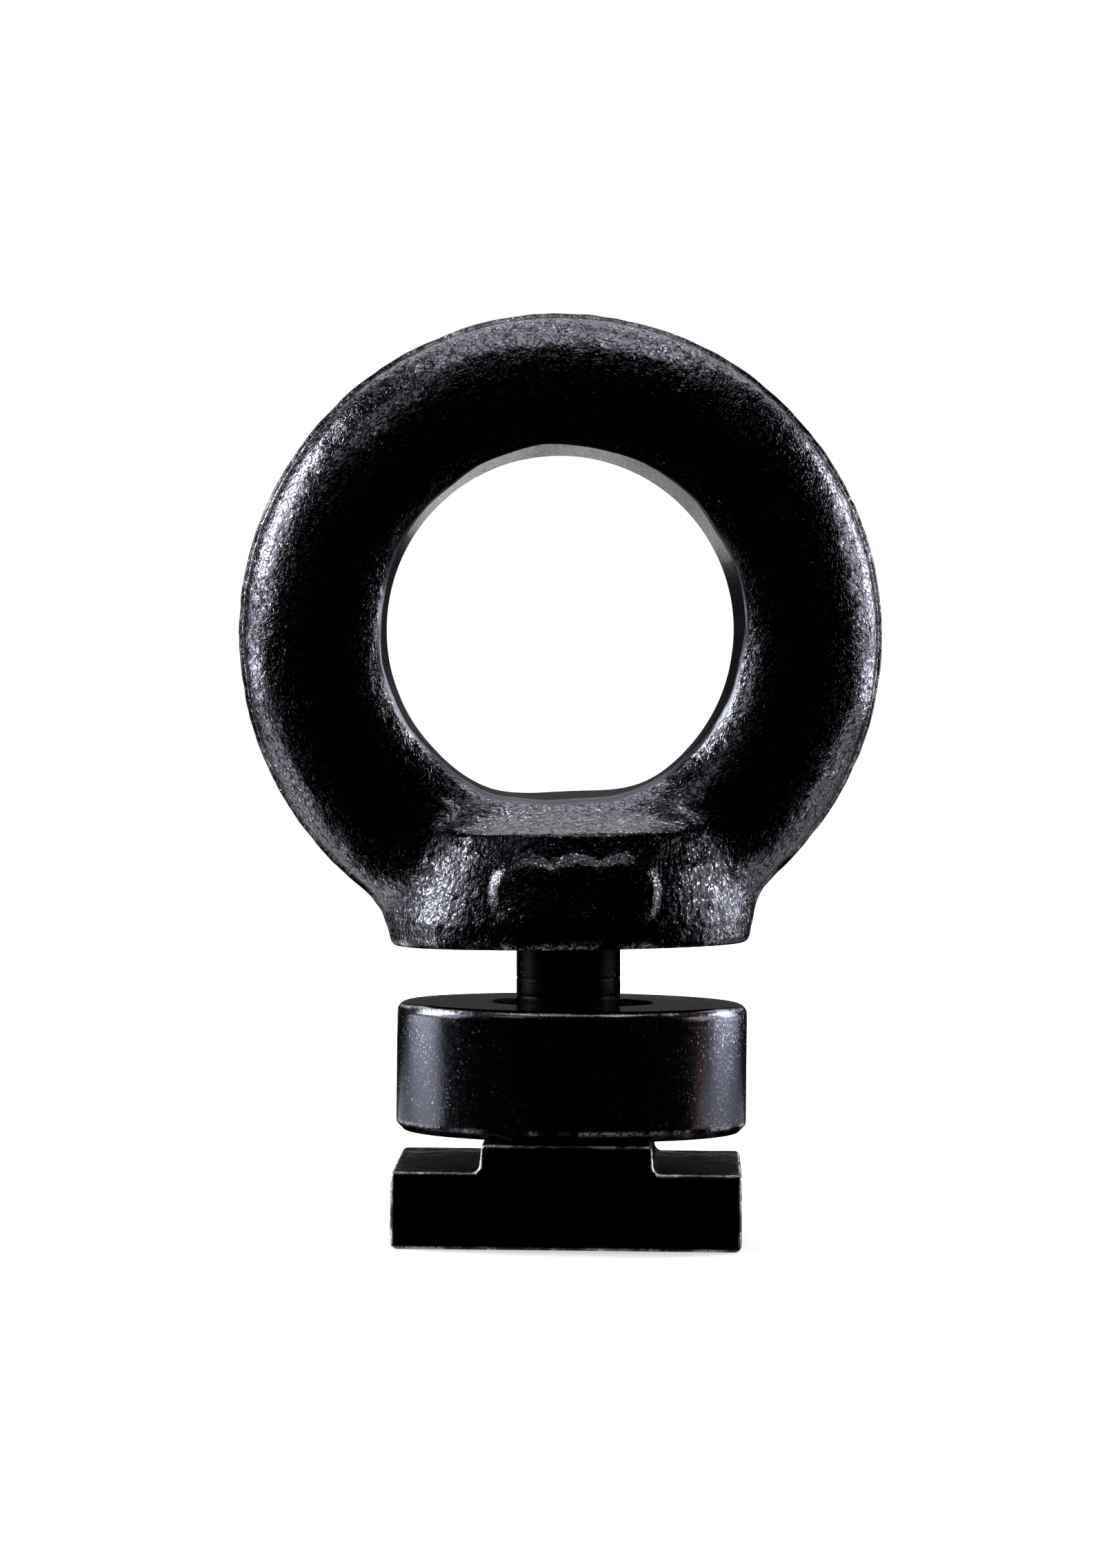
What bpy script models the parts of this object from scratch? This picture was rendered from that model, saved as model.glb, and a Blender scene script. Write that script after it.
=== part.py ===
"""Lashing eye for a T-slot rail: forged eye nut, waisted stud, loose clamp disc and T-slot nut.

Metres, +Z up. The origin is the middle of the T-slot nut's underside, on the stud's axis. The rail's slot
runs along Y, and the eye faces -Y.
"""

import math

import bmesh
import bpy
from mathutils import Matrix

MM = 0.001
GAP = 0.3 * MM  # between pieces that touch
CUT_PAST = 1.0 * MM  # how far a cutter runs past the face it cuts

# T-slot nut: a wide base that sits inside the rail and a neck that fills the slot's mouth
NUT_WIDTH = 29.0 * MM
NUT_LENGTH = 26.5 * MM
BASE_HEIGHT = 6.4 * MM
NECK_WIDTH = 14.4 * MM
NECK_HEIGHT = 2.3 * MM
NUT_EDGE = 0.25 * MM
NUT_TOP = BASE_HEIGHT + NECK_HEIGHT

# Clamp disc: loose on the stud, it bears on top of the rail
DISC_RADIUS = 14.7 * MM
DISC_HEIGHT = 10.8 * MM
DISC_BORE = 6.25 * MM
DISC_ROUND = 0.8 * MM
DISC_CHAMFER = 0.6 * MM
BORE_CHAMFER = 0.7 * MM
DISC_BOTTOM = NUT_TOP + GAP

# Stud: M12 at both ends with a waist between them; threads are plain cylinders with the running gap
THREAD_RADIUS = 5.85 * MM
WAIST_RADIUS = 4.37 * MM
HOLE_RADIUS = THREAD_RADIUS + GAP
HOLE_CHAMFER = 0.6 * MM
STUD_BOTTOM = 4.0 * MM
END_CHAMFER = 0.9 * MM
THREAD_IN_NUT = 4.4 * MM
THREAD_IN_EYE = 8.6 * MM

# Eye nut: a flange and boss of revolution that carry a forged ring
FLANGE_BOTTOM = DISC_BOTTOM + DISC_HEIGHT + 4.8 * MM
FLANGE_RADIUS = 15.0 * MM
FLANGE_HEIGHT = 2.2 * MM
FLANGE_CHAMFER = 0.6 * MM
FLANGE_SLOPE_IN = 0.7 * MM  # the slope from the flange up to the boss
FLANGE_SLOPE_UP = 1.4 * MM
BOSS_TOP_RADIUS = 12.3 * MM
BOSS_EDGE_HEIGHT = 9.6 * MM
BOSS_ROUND = 0.9 * MM
ROOF_HEIGHT = 12.9 * MM
BLIND_DEPTH = 9.5 * MM
DRILL_POINT = 1.2 * MM
RING_OUTER = 27.0 * MM
RING_HOLE = 14.5 * MM
RING_HALF_THICKNESS = 6.0 * MM
RING_HALF_WIDTH = 7.2 * MM  # of the oval section's outer half
RING_INNER_HALF = 5.8 * MM  # its inner half is rounder, before the hole is trimmed
RING_CENTRE = 26.0 * MM  # above the flange's underside
RING_SHIFT = -0.45 * MM  # the forged ring sits a little to one side of the thread
HOLE_RISE = 0.65 * MM  # the hole is punched a little above the ring's centre
HOLE_FLAT = 13.0 * MM  # from the ring's centre down to the flat at the bottom of the hole
EYE_TURN = math.radians(2.7)  # how far the eye is turned about the stud, as stored

SHARP_ANGLE = math.radians(35)
TURN_STEPS = 48
RING_STEPS = 64
SECTION_STEPS = 20
HOLE_STEPS = 60


def clear_scene():
    for thing in list(bpy.data.objects):
        bpy.data.objects.remove(thing)


def make_material(name, colour, metallic, roughness):
    material = bpy.data.materials.new(name)
    material.use_nodes = True
    shader = material.node_tree.nodes["Principled BSDF"]
    shader.inputs["Base Color"].default_value = (*colour, 1.0)
    shader.inputs["Metallic"].default_value = metallic
    shader.inputs["Roughness"].default_value = roughness
    return material


def make_object(name, form, material=None):
    """Turns a bmesh into an object in the scene; without a material it is a cutter."""
    bmesh.ops.recalc_face_normals(form, faces=form.faces)
    mesh = bpy.data.meshes.new(name)
    form.to_mesh(mesh)
    form.free()
    mesh.shade_smooth()
    mesh.set_sharp_from_angle(angle=SHARP_ANGLE)
    thing = bpy.data.objects.new(name, mesh)
    bpy.context.scene.collection.objects.link(thing)
    if material:
        mesh.materials.append(material)
    else:
        thing.hide_render = True
        thing.display_type = "WIRE"
    return thing


def add_boolean(thing, other, operation):
    modifier = thing.modifiers.new(other.name, "BOOLEAN")
    modifier.object = other
    modifier.operation = operation
    modifier.solver = "EXACT"


def arc(centre, radius, start, end, steps):
    """Points (r, z) on a round, angles in degrees from +r towards +z."""
    points = []
    for i in range(steps + 1):
        angle = math.radians(start + (end - start) * i / steps)
        points.append((centre[0] + radius * math.cos(angle), centre[1] + radius * math.sin(angle)))
    return points


def turned(outline, steps=TURN_STEPS):
    """A closed outline of (r, z) points swept once round the Z axis."""
    form = bmesh.new()
    corners = [form.verts.new((r, 0.0, z)) for r, z in outline]
    edges = []
    for i, corner in enumerate(corners):
        following = corners[(i + 1) % len(corners)]
        on_axis = corner.co.x == 0.0 and following.co.x == 0.0
        if not on_axis:
            edges.append(form.edges.new((corner, following)))
    bmesh.ops.spin(
        form,
        geom=corners + edges,
        cent=(0, 0, 0),
        axis=(0, 0, 1),
        angle=math.tau,
        steps=steps,
        use_merge=True,
    )
    bmesh.ops.remove_doubles(form, verts=form.verts, dist=0.001 * MM)
    return form


def extruded(outline, half_length):
    """A closed outline of (x, z) points drawn out along Y, equally to both sides."""
    form = bmesh.new()
    face = form.faces.new([form.verts.new((x, -half_length, z)) for x, z in outline])
    drawn = bmesh.ops.extrude_face_region(form, geom=[face])["geom"]
    moved = [item for item in drawn if isinstance(item, bmesh.types.BMVert)]
    bmesh.ops.translate(form, verts=moved, vec=(0, 2 * half_length, 0))
    return form


def t_slot_nut(material):
    half_base = NUT_WIDTH / 2
    half_neck = NECK_WIDTH / 2
    right = [(half_base, 0), (half_base, BASE_HEIGHT), (half_neck, BASE_HEIGHT), (half_neck, NUT_TOP)]
    left = [(-x, z) for x, z in reversed(right)]
    nut = make_object("t_slot_nut", extruded(right + left, NUT_LENGTH / 2), material)
    edges = nut.modifiers.new("worn_edges", "BEVEL")
    edges.width = NUT_EDGE
    edges.segments = 2
    edges.limit_method = "ANGLE"
    mouth = HOLE_RADIUS + HOLE_CHAMFER
    hole = [
        (0, -CUT_PAST),
        (mouth + CUT_PAST, -CUT_PAST),
        (HOLE_RADIUS, HOLE_CHAMFER),
        (HOLE_RADIUS, NUT_TOP - HOLE_CHAMFER),
        (mouth + CUT_PAST, NUT_TOP + CUT_PAST),
        (0, NUT_TOP + CUT_PAST),
    ]
    add_boolean(nut, make_object("nut_hole", turned(hole)), "DIFFERENCE")


def clamp_disc(material):
    side = DISC_RADIUS - DISC_ROUND
    shoulder = DISC_HEIGHT - DISC_ROUND
    outline = [
        (DISC_BORE, BORE_CHAMFER),
        (DISC_BORE + BORE_CHAMFER, 0),
        (DISC_RADIUS - DISC_CHAMFER, 0),
        (DISC_RADIUS, DISC_CHAMFER),
        *arc((side, shoulder), DISC_ROUND, 0, 90, 4),
        (DISC_BORE + BORE_CHAMFER, DISC_HEIGHT),
        (DISC_BORE, DISC_HEIGHT - BORE_CHAMFER),
    ]
    disc = make_object("clamp_disc", turned(outline), material)
    disc.location.z = DISC_BOTTOM


def stud(material):
    length = FLANGE_BOTTOM + THREAD_IN_EYE - STUD_BOTTOM
    end_radius = THREAD_RADIUS - END_CHAMFER
    run_out = THREAD_RADIUS - WAIST_RADIUS
    lower_shoulder = THREAD_IN_NUT - run_out
    upper_shoulder = FLANGE_BOTTOM - STUD_BOTTOM + run_out
    outline = [
        (0, 0),
        (end_radius, 0),
        (THREAD_RADIUS, END_CHAMFER),
        (THREAD_RADIUS, lower_shoulder),
        (WAIST_RADIUS, lower_shoulder + run_out),
        (WAIST_RADIUS, upper_shoulder),
        (THREAD_RADIUS, upper_shoulder + run_out),
        (THREAD_RADIUS, length - END_CHAMFER),
        (end_radius, length),
        (0, length),
    ]
    bolt = make_object("stud", turned(outline), material)
    bolt.location.z = STUD_BOTTOM


def boss():
    """Flange, tapering boss and low conical roof, turned about the thread's axis."""
    top = BOSS_TOP_RADIUS - BOSS_ROUND
    outline = [
        (0, 0),
        (FLANGE_RADIUS - FLANGE_CHAMFER, 0),
        (FLANGE_RADIUS, FLANGE_CHAMFER),
        (FLANGE_RADIUS, FLANGE_HEIGHT),
        (FLANGE_RADIUS - FLANGE_SLOPE_IN, FLANGE_HEIGHT + FLANGE_SLOPE_UP),
        *arc((top, BOSS_EDGE_HEIGHT), BOSS_ROUND, 15, 75, 3),
        (0, ROOF_HEIGHT),
    ]
    return turned(outline)


def ring_body():
    """The oval-section ring, standing upright in the XZ plane at its own height."""
    middle = RING_OUTER - RING_HALF_WIDTH
    form = bmesh.new()
    corners = []
    for i in range(SECTION_STEPS):
        angle = math.tau * i / SECTION_STEPS
        half = RING_HALF_WIDTH if math.cos(angle) > 0 else RING_INNER_HALF
        x = middle + half * math.cos(angle)
        corners.append(form.verts.new((x, RING_HALF_THICKNESS * math.sin(angle), 0)))
    edges = [form.edges.new((corners[i - 1], corners[i])) for i in range(SECTION_STEPS)]
    bmesh.ops.spin(
        form,
        geom=corners + edges,
        cent=(0, 0, 0),
        axis=(0, 1, 0),
        angle=math.tau,
        steps=RING_STEPS,
        use_merge=True,
    )
    bmesh.ops.translate(form, verts=form.verts, vec=(RING_SHIFT, 0, RING_CENTRE))
    return form


def eye_hole():
    """The trimming punch: round, with a flat at its bottom."""
    half_flat = math.degrees(math.acos((HOLE_FLAT + HOLE_RISE) / RING_HOLE))
    sweep = arc((0, 0), RING_HOLE, -90 + half_flat, 270 - half_flat, HOLE_STEPS)
    form = extruded(sweep, 2 * RING_HALF_THICKNESS)
    bmesh.ops.translate(form, verts=form.verts, vec=(RING_SHIFT, 0, RING_CENTRE + HOLE_RISE))
    return form


def blind_hole():
    """The tapped hole, with a chamfered mouth and a drill point."""
    outline = [
        (0, -CUT_PAST),
        (HOLE_RADIUS + HOLE_CHAMFER + CUT_PAST, -CUT_PAST),
        (HOLE_RADIUS, HOLE_CHAMFER),
        (HOLE_RADIUS, BLIND_DEPTH),
        (0, BLIND_DEPTH + DRILL_POINT),
    ]
    return turned(outline)


def below_flange():
    """A block that takes off what the ring leaves under the flange."""
    size = 2 * (FLANGE_RADIUS + CUT_PAST)
    form = bmesh.new()
    bmesh.ops.create_cube(form, size=size, matrix=Matrix.Translation((0, 0, -size / 2)))
    return form


def eye_nut(material):
    eye = make_object("eye_nut", boss(), material)
    steps = [
        ("ring_body", ring_body(), "UNION"),
        ("eye_hole", eye_hole(), "DIFFERENCE"),
        ("below_flange", below_flange(), "DIFFERENCE"),
        ("blind_hole", blind_hole(), "DIFFERENCE"),
    ]
    for name, form, operation in steps:
        helper = make_object(name, form)
        helper.parent = eye
        add_boolean(eye, helper, operation)
    eye.location.z = FLANGE_BOTTOM
    eye.rotation_euler.z = EYE_TURN


def main():
    clear_scene()
    forged = make_material("forged_black", (0.022, 0.023, 0.027), 0.85, 0.42)
    turned_black = make_material("turned_black", (0.020, 0.021, 0.025), 0.85, 0.33)
    milled_black = make_material("milled_black", (0.018, 0.018, 0.021), 0.8, 0.45)
    stud_black = make_material("stud_black", (0.015, 0.015, 0.018), 0.85, 0.30)
    t_slot_nut(milled_black)
    stud(stud_black)
    clamp_disc(turned_black)
    eye_nut(forged)


main()
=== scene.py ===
# Looks of the rail lashing eye: a forged eye nut, its stud, the clamp disc and the T-slot nut

import math

import bmesh
import bpy
import numpy as np
from mathutils import Matrix, Vector

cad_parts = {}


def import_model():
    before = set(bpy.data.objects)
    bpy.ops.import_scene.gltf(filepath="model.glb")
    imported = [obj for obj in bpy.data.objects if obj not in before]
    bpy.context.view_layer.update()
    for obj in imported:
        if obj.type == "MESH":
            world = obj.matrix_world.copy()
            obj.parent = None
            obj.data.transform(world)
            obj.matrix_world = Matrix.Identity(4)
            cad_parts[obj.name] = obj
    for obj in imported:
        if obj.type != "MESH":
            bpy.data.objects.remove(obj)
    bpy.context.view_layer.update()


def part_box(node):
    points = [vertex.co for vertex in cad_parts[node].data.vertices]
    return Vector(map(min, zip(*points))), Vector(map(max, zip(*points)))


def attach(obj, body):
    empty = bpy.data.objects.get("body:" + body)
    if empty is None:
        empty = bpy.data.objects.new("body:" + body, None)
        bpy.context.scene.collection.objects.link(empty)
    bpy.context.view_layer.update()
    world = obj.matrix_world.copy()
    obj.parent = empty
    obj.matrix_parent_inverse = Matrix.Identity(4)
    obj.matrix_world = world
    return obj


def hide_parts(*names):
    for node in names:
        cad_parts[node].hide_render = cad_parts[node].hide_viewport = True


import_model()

MM = 0.001

# Where the pieces are, in millimetres, read from the frame
nut_low, nut_high = (np.array(corner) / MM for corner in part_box("t_slot_nut"))
disc_low, disc_high = (np.array(corner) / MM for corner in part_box("clamp_disc"))
stud_low, stud_high = (np.array(corner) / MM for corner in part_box("stud"))
eye_low, eye_high = (np.array(corner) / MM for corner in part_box("eye_nut"))
FLANGE_BOTTOM = eye_low[2]

# The forged eye, in millimetres from the middle of the flange's underside
RING_OUTER = 27.0
RING_MEAN = 19.8
RING_HALF_THICKNESS = 6.0
RING_CENTRE = eye_high[2] - FLANGE_BOTTOM - RING_OUTER
RING_SHIFT = -0.55
FLASH_HEIGHT = 0.30  # the trimmed flash left all round the ring's parting line
FLASH_HALF = 0.55  # half the flash's width
OUTER_HALF = RING_OUTER - FLASH_HEIGHT - RING_MEAN
INNER_HALF = 5.6  # the oval section is rounder towards the hole
PUNCH_BACK = 14.5  # radius of the trimmed hole at its back edge
PUNCH_FRONT = 15.1  # and at its front edge
PUNCH_RISE = 0.65  # the hole is punched a little above the ring's centre
LAND_HALF = 3.1  # half the width of the smooth land that the punch leaves
HOLE_FLAT = 13.0  # from the ring's centre down to the flat at the foot of the hole, at the back
FLAT_TILT = 0.035  # the flat's slope across the hole
BOSS_SIDE = [(15.0, 2.0), (14.4, 4.0), (13.7, 6.6)]  # radius and height up the side
BOSS_TOP = (12.65, 9.75)
ROOF_PEAK = 13.05
BOSS_ROUND = 0.8  # radius of the flange's foot and of the roof's rim
FILLET = 3.2  # between ring and boss
EDGE_SOFTNESS = 0.14  # of the trimmed hole
BORE = 6.15  # radius of the blind hole from below
BORE_DEPTH = 9.5

# The stud, the disc and the T-slot nut, in millimetres
THREAD_PITCH = 1.75
STUD_CREST = 5.85
STUD_ROOT = 4.95
STUD_WAIST = 4.37
DISC_BORE = 6.25
DISC_ROUND = 0.9
DISC_CHAMFER = 0.62
SHOULDER = 6.4  # height of the nut's shoulders
NECK = 14.4  # width of the nut's neck

# How the loose pieces sit, to one side, turned and leaning
DISC_SHIFT = 0.16
EYE_TURN = math.radians(2.7)
LEAN_SIDE = math.radians(-1.2)  # the stud stands a little crooked in its loose thread
LEAN_BACK = math.radians(-0.6)

# Colours, as shares of light sent back
BARE_STEEL = (0.60, 0.60, 0.64)
RUBBED_STEEL = (0.86, 0.86, 0.90)
BLACK_SCALE = (0.092, 0.093, 0.113)
BOSS_SCALE = (0.031, 0.032, 0.039)
LAND_BLACK = (0.035, 0.036, 0.043)
PIT_BLACK = (0.012, 0.012, 0.014)
BLACK_OXIDE = (0.072, 0.075, 0.093)
# Brown painted on the disc where the right soft box's reflection begins, a painted tint at that
# reflection's edge
BROWN_PAINTED_REFLECTION = (0.080, 0.046, 0.028)

# Turns the noise, so that its creases never follow the pieces' own axes
ASLANT = np.array(Matrix.Rotation(math.radians(40), 3, Vector((1.0, 2.0, 0.7))))


# ---------------------------------------------------------------- noise and blending


def lattice(cell, seed):
    """A repeatable number from -1 to 1 for each whole-number point."""
    x, y, z = (cell[:, i].astype(np.int64) for i in range(3))
    mixed = (x * 374761393 + y * 668265263 + z * 1274126177 + seed * 974711) & 0xFFFFFFFF
    mixed = ((mixed ^ (mixed >> 13)) * 1103515245) & 0xFFFFFFFF
    mixed = mixed ^ (mixed >> 16)
    return (mixed & 0xFFFF) / 32767.5 - 1


def noise(points, size, seed=0):
    """Smooth noise from -1 to 1, in bumps about `size` across."""
    scaled = np.asarray(points) @ ASLANT / size
    base = np.floor(scaled)
    part = scaled - base
    part = part * part * (3 - 2 * part)
    total = np.zeros(len(scaled))
    for corner in np.ndindex(2, 2, 2):
        weight = np.ones(len(scaled))
        for axis, side in enumerate(corner):
            weight = weight * (part[:, axis] if side else 1 - part[:, axis])
        total += weight * lattice(base + np.array(corner), seed)
    return total


def smooth_min(a, b, reach):
    overlap = np.maximum(reach - np.abs(a - b), 0) / reach
    return np.minimum(a, b) - overlap * overlap * reach / 4


def smooth_max(a, b, reach):
    return -smooth_min(-a, -b, reach)


def step(low, high, value):
    """0 at low, 1 at high, and smooth between."""
    t = np.clip((value - low) / (high - low), 0, 1)
    return t * t * (3 - 2 * t)


# ---------------------------------------------------------------- meshes


def mesh_object(name, points, faces):
    """A smooth mesh; points are in millimetres."""
    mesh = bpy.data.meshes.new(name)
    mesh.from_pydata((np.asarray(points) * MM).tolist(), [], faces)
    mesh.validate()
    mesh.shade_smooth()
    thing = bpy.data.objects.new(name, mesh)
    bpy.context.scene.collection.objects.link(thing)
    return thing


def grid_faces(rows, columns, close_rows=False):
    """Quads of a grid whose columns wrap round; close_rows also joins the last row to the first."""
    faces = []
    for i in range(rows if close_rows else rows - 1):
        here = i * columns
        there = (i + 1) % rows * columns
        for j in range(columns):
            k = (j + 1) % columns
            faces.append((here + j, here + k, there + k, there + j))
    return faces


def capped_faces(rows, columns):
    """Faces of a tube that is closed by a flat face at each end."""
    faces = grid_faces(rows, columns)
    faces.append(tuple(reversed(range(columns))))
    faces.append(tuple(range((rows - 1) * columns, rows * columns)))
    return faces


def wrapped(radius, angle, z):
    """Points at the given radii and angles round Z, row by row."""
    return np.stack([radius * np.cos(angle), radius * np.sin(angle), z], 2).reshape(-1, 3)


def round_grid(low, high, spacing, columns):
    """Heights and angles of evenly spaced rows round Z."""
    z = np.arange(low, high + spacing / 2, spacing)
    angle = np.arange(columns) * math.tau / columns
    return np.meshgrid(z, angle, indexing="ij")


def arc(centre, radius, start, end, steps):
    """Points (r, z) on a round, angles in degrees."""
    angles = np.radians(np.linspace(start, end, steps + 1))
    return [(centre[0] + radius * math.cos(a), centre[1] + radius * math.sin(a)) for a in angles]


def resample(outline, spacing):
    """The outline with extra points on every stretch longer than spacing; it is closed."""
    points = []
    for (r0, z0), (r1, z1) in zip(outline, outline[1:] + outline[:1]):
        count = max(1, round(math.hypot(r1 - r0, z1 - z0) / spacing))
        for i in range(count):
            points.append((r0 + (r1 - r0) * i / count, z0 + (z1 - z0) * i / count))
    return points


def turned(outline, columns):
    """Points and faces of a closed (r, z) outline swept round Z; the outline runs counter-clockwise."""
    angles = np.arange(columns) * math.tau / columns
    rows = np.array(outline)
    heights = np.repeat(rows[:, 1:], columns, axis=1)
    return wrapped(rows[:, :1], angles, heights), grid_faces(len(rows), columns, close_rows=True)


def set_value(thing, name, values):
    """Keeps one number for each point, which the materials read by name."""
    layer = thing.data.attributes.new(name, "FLOAT", "POINT")
    layer.data.foreach_set("value", np.asarray(values, np.float32))


def points_of(thing):
    flat = np.empty(len(thing.data.vertices) * 3, np.float32)
    thing.data.vertices.foreach_get("co", flat)
    return flat.reshape(-1, 3).astype(float) / MM


def move_points(thing, points):
    thing.data.vertices.foreach_set("co", (points * MM).astype(np.float32).ravel())
    thing.data.update()


def apply_modifiers(thing):
    graph = bpy.context.evaluated_depsgraph_get()
    mesh = bpy.data.meshes.new_from_object(thing.evaluated_get(graph))
    thing.modifiers.clear()
    thing.data = mesh


def in_fixed_order(mesh):
    """The same mesh, with points and faces ordered by place alone, so that every run gives the same."""
    places = np.array([vertex.co for vertex in mesh.vertices])
    order = np.lexsort(places.T)
    rank = np.empty(len(order), int)
    rank[order] = np.arange(len(order))
    faces = []
    for face in mesh.polygons:
        corners = rank[list(face.vertices)].tolist()
        first = corners.index(min(corners))
        faces.append(corners[first:] + corners[:first])
    ordered = bpy.data.meshes.new(mesh.name)
    ordered.from_pydata(places[order].tolist(), [], sorted(faces))
    return ordered


def combine(thing, other, operation):
    """Joins or cuts the thing with the other, which is used up."""
    modifier = thing.modifiers.new("combine", "BOOLEAN")
    modifier.operation = operation
    modifier.object = other
    apply_modifiers(thing)
    thing.data = in_fixed_order(thing.data)
    bpy.data.objects.remove(other)


def outward(thing):
    """Turns every face's normal outwards."""
    form = bmesh.new()
    form.from_mesh(thing.data)
    bmesh.ops.recalc_face_normals(form, faces=form.faces)
    form.to_mesh(thing.data)
    form.free()


# ---------------------------------------------------------------- the forged eye as a distance field


def boss_outline():
    """Half section of flange, boss and roof, drawn in by the rounding that is added back."""
    inset = BOSS_ROUND
    return [
        (0.0, inset),
        (BOSS_SIDE[0][0] - inset, inset),
        *((r - inset, z) for r, z in BOSS_SIDE),
        (BOSS_TOP[0] - inset, BOSS_TOP[1] - inset),
        (0.0, ROOF_PEAK - inset),
    ]


def outline_distance(r, z, outline):
    """Signed distance to a closed outline, negative inside."""
    nearest = np.full(len(r), 1e9)
    inside = np.zeros(len(r), bool)
    for (r0, z0), (r1, z1) in zip(outline, outline[1:] + outline[:1]):
        along_r, along_z = r1 - r0, z1 - z0
        t = np.clip(((r - r0) * along_r + (z - z0) * along_z) / (along_r**2 + along_z**2), 0, 1)
        nearest = np.minimum(nearest, np.hypot(r - r0 - t * along_r, z - z0 - t * along_z))
        crosses = (z0 > z) != (z1 > z)
        if along_z:
            inside ^= crosses & (r < r0 + (z - z0) * along_r / along_z)
    return np.where(inside, -nearest, nearest)


def raised_pad(p):
    """Height of a plain pad of three merged, soft-edged lobes on the front of the boss."""
    across = np.hypot(p[:, 0], p[:, 1]) * np.arctan2(p[:, 0], -p[:, 1])
    half_width, half_height, pitch, middle, height = 3.2, 3.0, 4.05, 4.75, 0.5
    nearest = np.clip(np.round(across / pitch), -1, 1)
    beside = (across - nearest * pitch) / half_width
    above = (p[:, 2] - middle) / half_height
    distance = (np.hypot(beside, above) - 1) * half_width
    return height * (1 - step(-0.75, 0.4, distance)) * (p[:, 1] < 0)


def boss_distance(p):
    """Signed distance to flange and boss, before the ring is blended in."""
    r = np.hypot(p[:, 0], p[:, 1])
    return outline_distance(r, p[:, 2], boss_outline()) - BOSS_ROUND - raised_pad(p)


def ring_distance(p):
    """Signed distance to the untrimmed ring, an oval section swept round, with its ragged flash."""
    x, z = p[:, 0] - RING_SHIFT, p[:, 2] - RING_CENTRE
    u, v = np.hypot(x, z) - RING_MEAN, p[:, 1]
    half = np.where(u > 0, OUTER_HALF, INNER_HALF)
    scaled = np.hypot(u / half, v / RING_HALF_THICKNESS)
    slope = np.hypot(u / half**2, v / RING_HALF_THICKNESS**2)
    body = scaled * (scaled - 1) / np.maximum(slope, 1e-6)
    ragged = 1 + 0.08 * noise(p, 2.6, 5) + 0.08 * noise(p, 0.9, 6)
    flash = FLASH_HEIGHT * ragged * np.exp(-((v / FLASH_HALF) ** 6)) * step(2, 5, u)
    return body - flash


def chipped(angle, seed):
    """A broken line round the hole, in straight stretches, from -1 to 1."""
    stretches = 34
    place = (angle / math.tau % 1) * stretches
    first = np.floor(place)
    cell = np.stack([first % stretches, np.zeros_like(first), np.zeros_like(first)], 1)
    following = np.stack([(first + 1) % stretches, np.zeros_like(first), np.zeros_like(first)], 1)
    return lattice(cell, seed) * (1 - place + first) + lattice(following, seed) * (place - first)


def punch_radius(angle, y):
    """The hole widens towards the front, where its edge is chipped."""
    front = PUNCH_FRONT + 0.16 * chipped(angle, 3)
    return PUNCH_BACK + (front - PUNCH_BACK) * (LAND_HALF - y) / (2 * LAND_HALF)


def punch_distance(p):
    """Signed distance to the trimming punch, negative inside it."""
    x, z = p[:, 0] - RING_SHIFT, p[:, 2] - RING_CENTRE - PUNCH_RISE
    angle = np.arctan2(z, x)
    radius = punch_radius(angle, p[:, 1])
    grown = radius - PUNCH_BACK
    above_flat = z + HOLE_FLAT + PUNCH_RISE + grown - FLAT_TILT * x
    return smooth_max(np.hypot(x, z) - radius, -above_flat, 0.8)


def eye_distance(p):
    """Signed distance to the whole forging, without its grain."""
    near_plane = np.exp(-((p[:, 1] / 3.0) ** 2))
    body = smooth_min(ring_distance(p), boss_distance(p), FILLET + 0.4 * near_plane)
    trimmed = smooth_max(body, -punch_distance(p), EDGE_SOFTNESS)
    return smooth_max(trimmed, -p[:, 2], 0.3)


def grain(p):
    """The forging's lumps and scale marks, as a height in millimetres."""
    lumps = 0.035 * noise(p, 4.5, 11) + 0.025 * noise(p, 1.9, 12)
    scale = 0.034 * noise(p, 0.95, 13) + 0.016 * noise(p, 0.5, 14)
    land = step(0.35, 0.05, np.abs(punch_distance(p)))
    under = step(0.5, 0.0, p[:, 2])
    return (lumps + scale) * (1 - 0.92 * land) * (1 - 0.85 * under)


def surface(p):
    return eye_distance(p) - grain(p)


def gradient(field, p, reach=0.03):
    """Unit normals of the field's surface."""
    parts = []
    for axis in range(3):
        offset = np.zeros(3)
        offset[axis] = reach
        parts.append(field(p + offset) - field(p - offset))
    slope = np.stack(parts, 1) / (2 * reach)
    return slope / np.maximum(np.linalg.norm(slope, axis=1, keepdims=True), 1e-6)


def settle(field, p, rounds=4):
    """Moves points along the field's slope until they lie on its surface."""
    for _ in range(rounds):
        p = p - gradient(field, p) * np.clip(field(p), -0.6, 0.6)[:, None]
    return p


# ---------------------------------------------------------------- the forged eye as a mesh


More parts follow.
